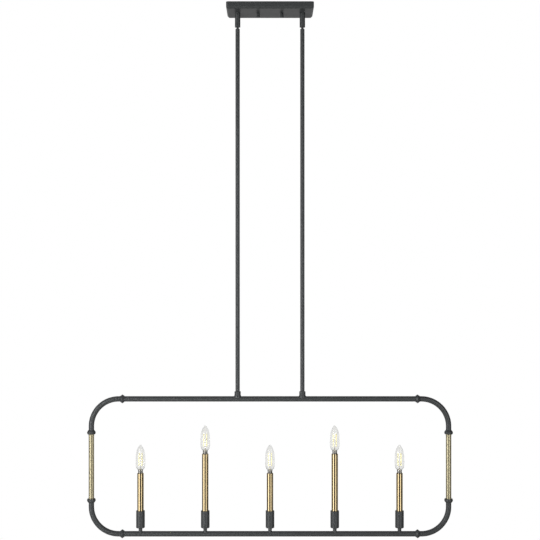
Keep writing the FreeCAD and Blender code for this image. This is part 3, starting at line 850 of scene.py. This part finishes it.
class PENDANT_OT_sleeves(bpy.types.Operator):
    """Draw the five polished brass sleeves and finish the sockets inside them"""

    bl_idname = "pendant.sleeves"
    bl_label = "Candle sleeves"

    def execute(self, context):
        wall = context.scene.pendant_sizes.sleeve_wall
        radius = radius_of("candle_sleeves")
        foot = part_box("candle_sleeves")[0].z - 2.3 * MM
        for number, (x, top) in enumerate(zip(candle_places(), candle_tops()), start=1):
            profile = [(radius - wall, foot), (radius, foot), (radius, top), (radius - wall, top)]
            sleeve = turned(f"candle_sleeve_{number}", profile, (x, 0, 0), closed=True)
            round_edges(sleeve, 0.3 * MM, 2)
            smooth(sleeve)
            finished(sleeve, polished_brass(), "polished_brass", "fixture", "candle_sleeves")
        refinish("lamp_sockets", moulded_phenolic())
        refinish("socket_posts", zinc_plate())
        return {"FINISHED"}


class PENDANT_OT_bulbs(bpy.types.Operator):
    """Make the five bulbs: nickel caps, blown glass, glass mounts and four filament sticks each"""

    bl_idname = "pendant.bulbs"
    bl_label = "Bulbs"

    def execute(self, context):
        sizes = context.scene.pendant_sizes
        glass_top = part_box("bulb_glasses")[1].z
        cap_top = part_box("bulb_caps")[1].z
        tops = candle_tops()
        showing = cap_top - max(tops)
        below = max(tops) - (cap_top - CAP_DEPTH)
        height = glass_top - cap_top
        for number, (x, top) in enumerate(zip(candle_places(), tops), start=1):
            foot = top + showing
            base = self.cap(number, x, top, showing, below)
            finished(base, nickel_plate(), "nickel_plate", "fixture", "bulb_caps")
            outline = [(reach * MM, foot + up * height / GLASS_HEIGHT)
                       for reach, up in GLASS_OUTLINE]
            envelope = turned(f"bulb_glass_{number}", outline, (x, 0, 0))
            apply(envelope, "SOLIDIFY", thickness=sizes.glass_wall, offset=-1.0)
            smooth(envelope, 60)
            finished(envelope, blown_glass(), "clear_glass", "fixture", "bulb_glasses")
            sticks = self.filaments(number, x, foot, sizes.filament_width)
            finished(sticks, phosphor_coat(), "clear_glass", "fixture")
            mount = self.mount(number, x, foot)
            finished(mount, nickel_plate(), "nickel_plate", "fixture")
        return {"FINISHED"}

    def cap(self, number, x, top, showing, below):
        """A bulb's cap: a shell with a pressed ring, its upper edge rolled over the glass."""
        wide, narrow = 7.3 * MM, 6.7 * MM
        ring = ((narrow, 1.5), (wide, 2.2), (wide, 3.6), (narrow, 4.4), (narrow, 6.4), (wide, 7.2))
        profile = [(0, top - below), (narrow, top - below)]
        profile += [(reach, top + up * MM) for reach, up in ring]
        profile += [(wide, top + showing), (0, top + showing)]
        cap = turned(f"bulb_cap_{number}", profile, (x, 0, 0))
        round_edges(cap, 0.3 * MM, 2)
        smooth(cap)
        return cap

    def mount(self, number, x, foot):
        """The short mount inside a bulb that carries the filaments."""
        profile = [(reach * MM, foot + up * MM) for reach, up in MOUNT_FOOT]
        profile += [(reach, foot + MOUNT_BEAD_LEVEL + up)
                    for reach, up in arc((0, 0), MOUNT_BEAD_RADIUS, -50, 60, 5)]
        profile += [(reach * MM, foot + up * MM) for reach, up in MOUNT_PIN]
        mount = turned(f"bulb_mount_{number}", profile, (x, 0, 0), steps=24)
        smooth(mount, 60)
        return mount

    def filaments(self, number, x, foot, width):
        """Four upright sticks round the bulb's axis."""
        low, high = foot + FILAMENT_FOOT, foot + FILAMENT_TOP
        clear_selection()
        bpy.ops.mesh.primitive_cylinder_add(vertices=12, radius=width / 2, depth=high - low,
                                            location=(x + FILAMENT_OFFSET, FILAMENT_OFFSET,
                                                      (low + high) / 2))
        sticks = named(f"filament_{number}")
        edit(sticks)
        pick(sticks, "FACE", lambda middle, normal: abs(normal.z) > FACING)
        bpy.ops.mesh.inset(thickness=width * 0.2)
        bpy.ops.mesh.select_all(action="SELECT")
        for _ in range(3):
            bpy.ops.mesh.duplicate()
            bpy.ops.transform.rotate(value=QUARTER_TURN, orient_axis="Z",
                                     center_override=(x, 0, 0))
        close_up()
        leave_edit()
        smooth(sticks, 40)
        return sticks


# ----------------------------------------------------------------------------------------------
# The studio
# ----------------------------------------------------------------------------------------------


class PENDANT_OT_stage(bpy.types.Operator):
    """Set up the studio: pale floor, white surroundings, soft lamps and the camera"""

    bl_idname = "pendant.stage"
    bl_label = "Studio"

    def execute(self, context):
        context.scene.view_settings.view_transform = "Standard"
        make_floor()
        make_surroundings(context.scene)
        for lamp in LAMPS:
            make_lamp(context.scene, *lamp)
        make_camera(context.scene)
        return {"FINISHED"}


def make_floor():
    """A matt pale floor well below the pendant, nine parts in ten plain white to the camera."""
    clear_selection()
    bpy.ops.mesh.primitive_plane_add(size=FLOOR_SIZE, location=(0, 0, FLOOR_LEVEL))
    floor = named("studio_floor")
    material, shader = new_material("studio_floor", Base_Color=chosen("floor"), Roughness=0.8)
    tree = material.node_tree
    white = add(tree, "ShaderNodeEmission", Color=(1, 1, 1, 1), Strength=1.0)
    path = add(tree, "ShaderNodeLightPath")
    seen = add(tree, "ShaderNodeMix", {"Factor": path.outputs["Is Camera Ray"]},
               data_type="FLOAT", A=0.0, B=0.9)
    surface = add(tree, "ShaderNodeMixShader", {
        "Fac": seen.outputs["Result"], 1: shader.outputs["BSDF"], 2: white.outputs["Emission"],
    })
    tree.links.new(surface.outputs["Shader"], tree.nodes["Material Output"].inputs["Surface"])
    floor.data.materials.append(material)


def make_surroundings(scene):
    """A world that is white to the camera and through glass. As a light it is nearly dark, with a
    paler wall behind the pendant."""
    world = bpy.data.worlds.new("studio")
    scene.world = world
    world.use_nodes = True
    tree = world.node_tree
    path = add(tree, "ShaderNodeLightPath")
    white = add(tree, "ShaderNodeMath", {
        0: path.outputs["Is Camera Ray"], 1: path.outputs["Is Transmission Ray"],
    }, operation="MAXIMUM")
    around = add(tree, "ShaderNodeTexCoord").outputs["Generated"]
    split = add(tree, "ShaderNodeSeparateXYZ", {"Vector": around})
    wall = add(tree, "ShaderNodeMapRange", {"Value": split.outputs["Y"]},
               From_Min=0.2, From_Max=0.7, To_Min=0.07, To_Max=0.36)
    level = add(tree, "ShaderNodeMath", {
        0: white.outputs["Value"], 1: wall.outputs["Result"],
    }, operation="MAXIMUM")
    background = tree.nodes["Background"]
    background.inputs["Color"].default_value = (1, 1, 1, 1)
    tree.links.new(level.outputs["Value"], background.inputs["Strength"])


def make_lamp(scene, name, place, size, power, spread, shine):
    """A rectangular soft lamp aimed at the pendant. Its grid narrows the beam to an angle in
    degrees, and without shine no surface mirrors it."""
    data = bpy.data.lights.new(name, "AREA")
    data.shape = "RECTANGLE"
    data.size, data.size_y = size
    data.energy = power
    data.spread = math.radians(spread)
    lamp = bpy.data.objects.new(name, data)
    lamp.location = place
    aim = Vector(LAMP_TARGET) - Vector(place)
    lamp.rotation_euler = aim.to_track_quat("-Z", "Y").to_euler()
    lamp.visible_camera = False
    lamp.visible_glossy = shine
    scene.collection.objects.link(lamp)


def make_camera(scene):
    """Level with the pendant's middle and straight in front of it, as the photograph was taken."""
    data = bpy.data.cameras.new("camera")
    data.sensor_width = CAMERA_SENSOR
    data.lens = CAMERA_LENS
    camera = bpy.data.objects.new("camera", data)
    camera.location = CAMERA_PLACE
    camera.rotation_euler = (QUARTER_TURN, 0, 0)
    scene.collection.objects.link(camera)
    scene.camera = camera


# ----------------------------------------------------------------------------------------------
# The add-on
# ----------------------------------------------------------------------------------------------

STEPS = (
    PENDANT_OT_canopy,
    PENDANT_OT_knobs,
    PENDANT_OT_swivels,
    PENDANT_OT_stems,
    PENDANT_OT_bosses,
    PENDANT_OT_rails,
    PENDANT_OT_collars,
    PENDANT_OT_side_tubes,
    PENDANT_OT_cups,
    PENDANT_OT_sleeves,
    PENDANT_OT_bulbs,
    PENDANT_OT_stage,
)


class PENDANT_PT_panel(bpy.types.Panel):
    """Lists the sizes, the finishes and the steps that make the pendant"""

    bl_idname = "PENDANT_PT_panel"
    bl_label = "Linear island pendant"
    bl_space_type = "VIEW_3D"
    bl_region_type = "UI"
    bl_category = "Pendant"

    def draw(self, context):
        for group in (context.scene.pendant_sizes, context.scene.pendant_finishes):
            for name in group.__annotations__:
                self.layout.prop(group, name)
        for step in STEPS:
            self.layout.operator(step.bl_idname)


CLASSES = (PendantSizes, PendantFinishes, *STEPS, PENDANT_PT_panel)


def register():
    for each in CLASSES:
        bpy.utils.register_class(each)
    bpy.types.Scene.pendant_sizes = bpy.props.PointerProperty(type=PendantSizes)
    bpy.types.Scene.pendant_finishes = bpy.props.PointerProperty(type=PendantFinishes)


def unregister():
    del bpy.types.Scene.pendant_finishes
    del bpy.types.Scene.pendant_sizes
    for each in reversed(CLASSES):
        bpy.utils.unregister_class(each)


def main():
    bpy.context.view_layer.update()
    register()
    for step in STEPS:
        group, name = step.bl_idname.split(".")
        if getattr(getattr(bpy.ops, group), name)() != {"FINISHED"}:
            raise RuntimeError(f"{step.bl_label} didn't finish")
    clear_selection()


if __name__ == "__main__":
    main()
